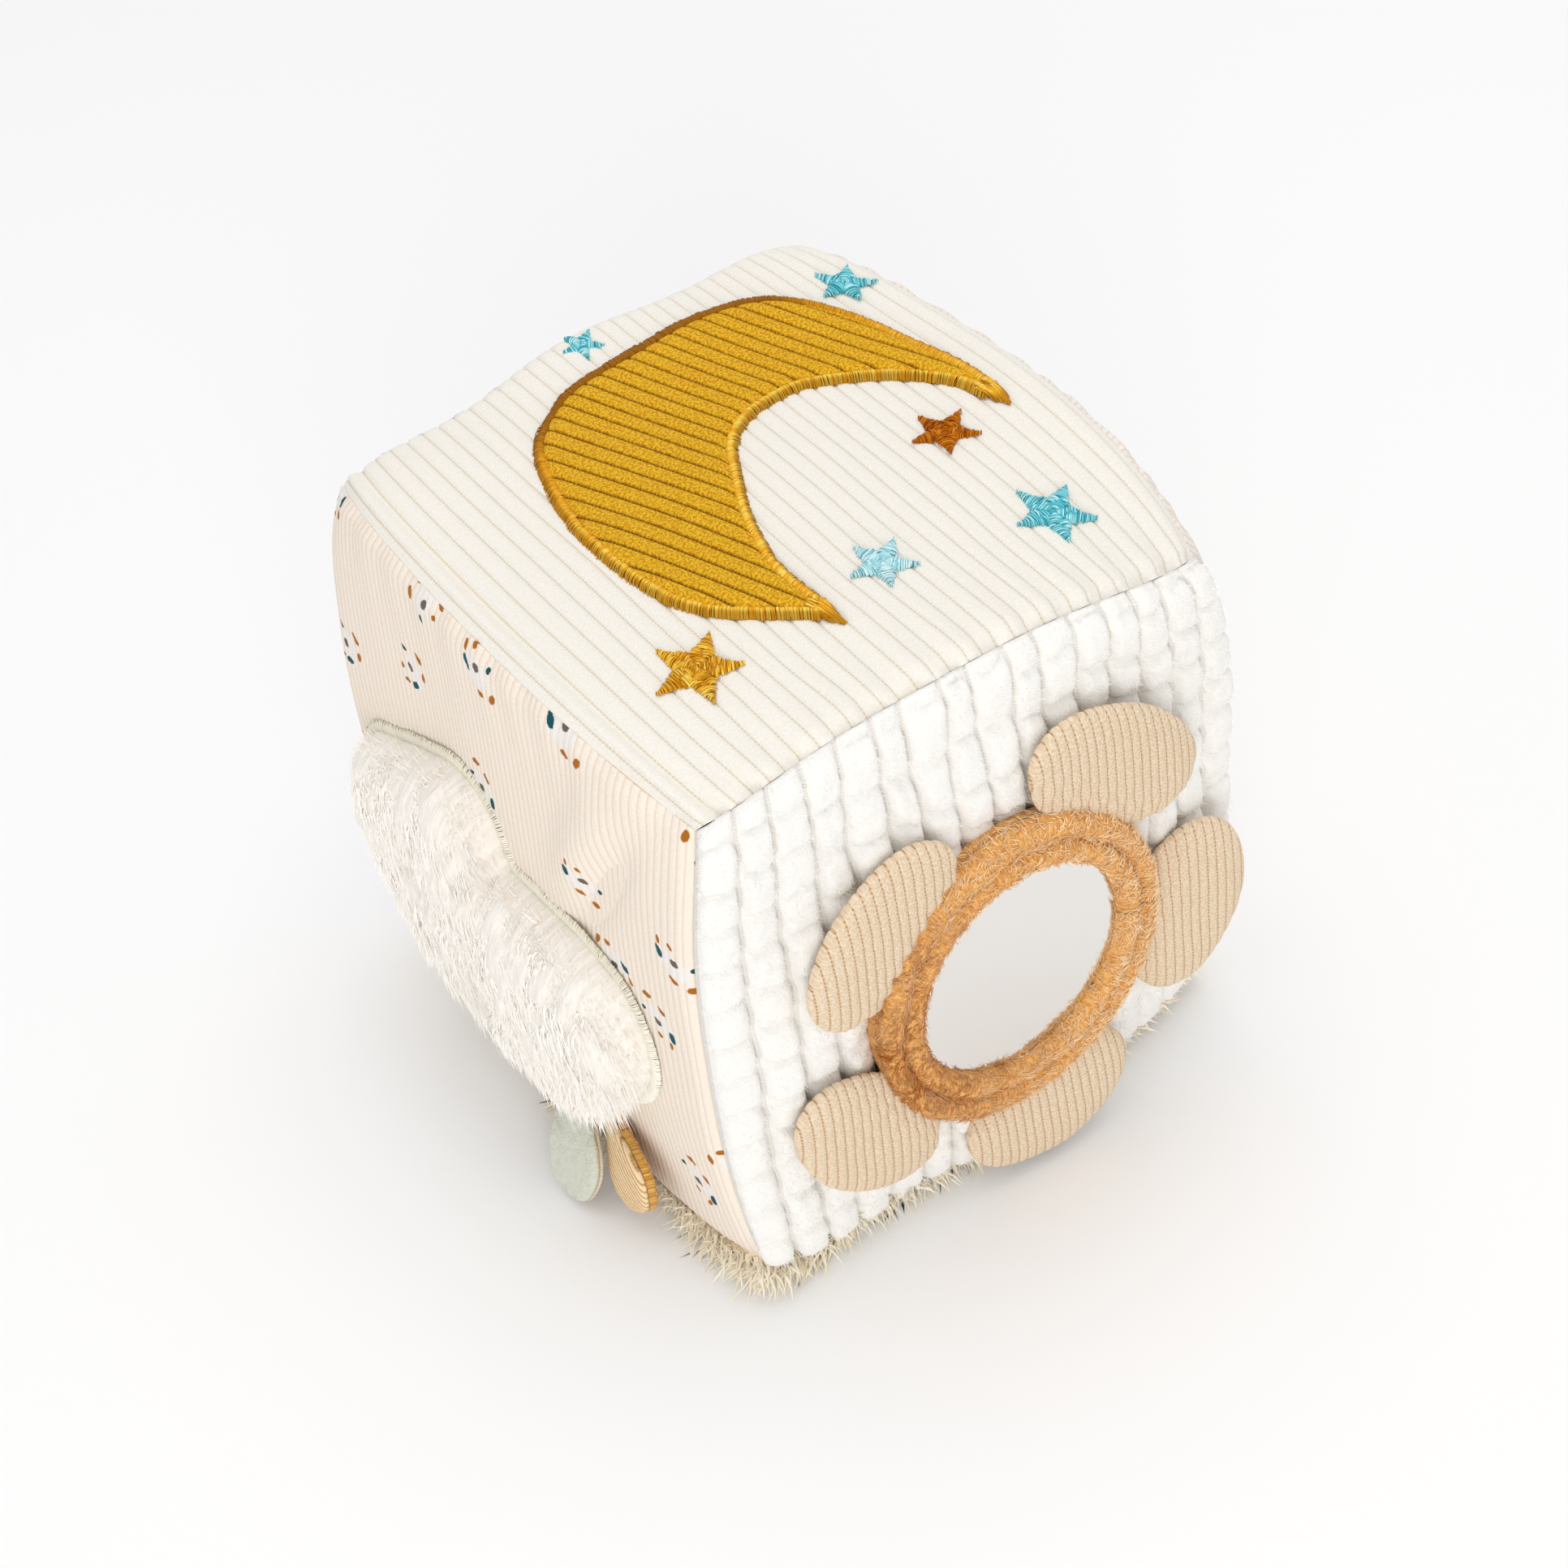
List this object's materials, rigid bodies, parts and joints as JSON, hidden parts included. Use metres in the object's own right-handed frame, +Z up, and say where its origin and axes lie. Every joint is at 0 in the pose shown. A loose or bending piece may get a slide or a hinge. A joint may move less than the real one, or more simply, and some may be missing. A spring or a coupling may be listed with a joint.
{
  "type": "soft activity block",
  "caption": "Stuffed fabric cube for a baby to feel and look at: a padded flower with a mirror on one side, a moon and stars on top, a fur cloud with hanging tabs on another side.",
  "frame": {"origin": "middle of the flat patch on which the block stands, on the ground and under the middle of the cube", "axes": "+X to the right for a person who looks at the mirror flower, +Y away from that person, +Z up; the mirror flower faces -Y, the cloud faces -X and the moon faces +Z"},
  "size_m": [0.1743, 0.1734, 0.1566],
  "materials": {
    "cream_corduroy": "wide wale corduroy",
    "printed_velour": "fine rib velour with a small sprig print",
    "pale_pink_velour": "short pile velour",
    "pale_lavender_velour": "short pile velour",
    "white_plush": "waffle plush",
    "cream_fur": "curly pile",
    "fibre_filling": "loose polyester fibre",
    "rattle_plastic": "moulded, matte",
    "bead_plastic": "moulded, matte",
    "mirror_film": "silvered plastic film",
    "wadding": "felted wadding",
    "camel_plush": "short plush",
    "tan_corduroy": "fine wale corduroy",
    "mustard_corduroy": "wide wale corduroy",
    "gold_satin": "satin stitch",
    "brown_satin": "satin stitch",
    "light_blue_satin": "satin stitch",
    "teal_satin": "satin stitch",
    "white_fur": "long pile fur",
    "pale_green_satin": "satin stitch",
    "sage_velour": "short pile velour",
    "drop_lining": "short pile velour",
    "tan_stripe": "fine striped cotton",
    "gold_terry": "terry loops"
  },
  "bodies": {
    "block": {"top_panel": "cream_corduroy", "left_panel": "printed_velour", "right_panel": "pale_pink_velour", "back_panel": "pale_lavender_velour", "front_panel": "white_plush", "base_panel": "cream_fur", "filling_upper": "fibre_filling", "filling_lower": "fibre_filling", "rattle_upper_shell": "rattle_plastic", "rattle_lower_shell": "rattle_plastic", "rattle_bead_1": "bead_plastic", "rattle_bead_2": "bead_plastic", "rattle_bead_3": "bead_plastic", "rattle_bead_4": "bead_plastic", "rattle_bead_5": "bead_plastic", "rattle_bead_6": "bead_plastic", "mirror": "mirror_film", "mirror_pad": "wadding", "frame_roll": "camel_plush", "rim_roll": "camel_plush", "moon": "mustard_corduroy", "moon_border": "gold_satin", "star_gold": "gold_satin", "star_brown": "brown_satin", "star_light_blue": "light_blue_satin", "star_teal_front": "teal_satin", "star_teal_corner": "teal_satin", "star_teal_back": "teal_satin", "cloud_fur": "white_fur", "cloud_border": "pale_green_satin"},
    "petal_upper_right": {"petal_upper_right": "tan_corduroy"},
    "petal_upper_left": {"petal_upper_left": "tan_corduroy"},
    "petal_lower_left": {"petal_lower_left": "tan_corduroy"},
    "petal_bottom": {"petal_bottom": "tan_corduroy"},
    "petal_right": {"petal_right": "tan_corduroy"},
    "raindrop_sage": {"raindrop_sage_face": "sage_velour", "raindrop_sage_back": "drop_lining"},
    "raindrop_tan": {"raindrop_tan_face": "tan_stripe", "raindrop_tan_back": "gold_terry"}
  },
  "joints": [
    {"name": "petal_upper_right_lift", "type": "hinge", "parent": "block", "child": "petal_upper_right", "pos_m": [0.02777, -0.08671, 0.10136], "axis": [0.766, 0, -0.6428], "range_deg": [0, 50]},
    {"name": "petal_upper_left_lift", "type": "hinge", "parent": "block", "child": "petal_upper_left", "pos_m": [-0.03159, -0.08671, 0.09773], "axis": [0.682, 0, 0.7314], "range_deg": [0, 50]},
    {"name": "petal_lower_left_lift", "type": "hinge", "parent": "block", "child": "petal_lower_left", "pos_m": [-0.03664, -0.08671, 0.04538], "axis": [-0.5299, 0, 0.848], "range_deg": [0, 50]},
    {"name": "petal_bottom_lift", "type": "hinge", "parent": "block", "child": "petal_bottom", "pos_m": [0.00676, -0.08671, 0.0256], "axis": [-0.9877, 0, -0.1564], "range_deg": [0, 50]},
    {"name": "petal_right_lift", "type": "hinge", "parent": "block", "child": "petal_right", "pos_m": [0.04131, -0.08671, 0.05564], "axis": [-0.2924, 0, -0.9563], "range_deg": [0, 50]},
    {"name": "raindrop_sage_swing", "type": "hinge", "parent": "block", "child": "raindrop_sage", "pos_m": [-0.07863, -0.01222, 0.02182], "axis": [0, 0.848, -0.5299], "range_deg": [0, 50]},
    {"name": "raindrop_tan_swing", "type": "hinge", "parent": "block", "child": "raindrop_tan", "pos_m": [-0.07809, -0.03092, 0.02343], "axis": [0, 0.7071, -0.7071], "range_deg": [0, 50]}
  ]
}
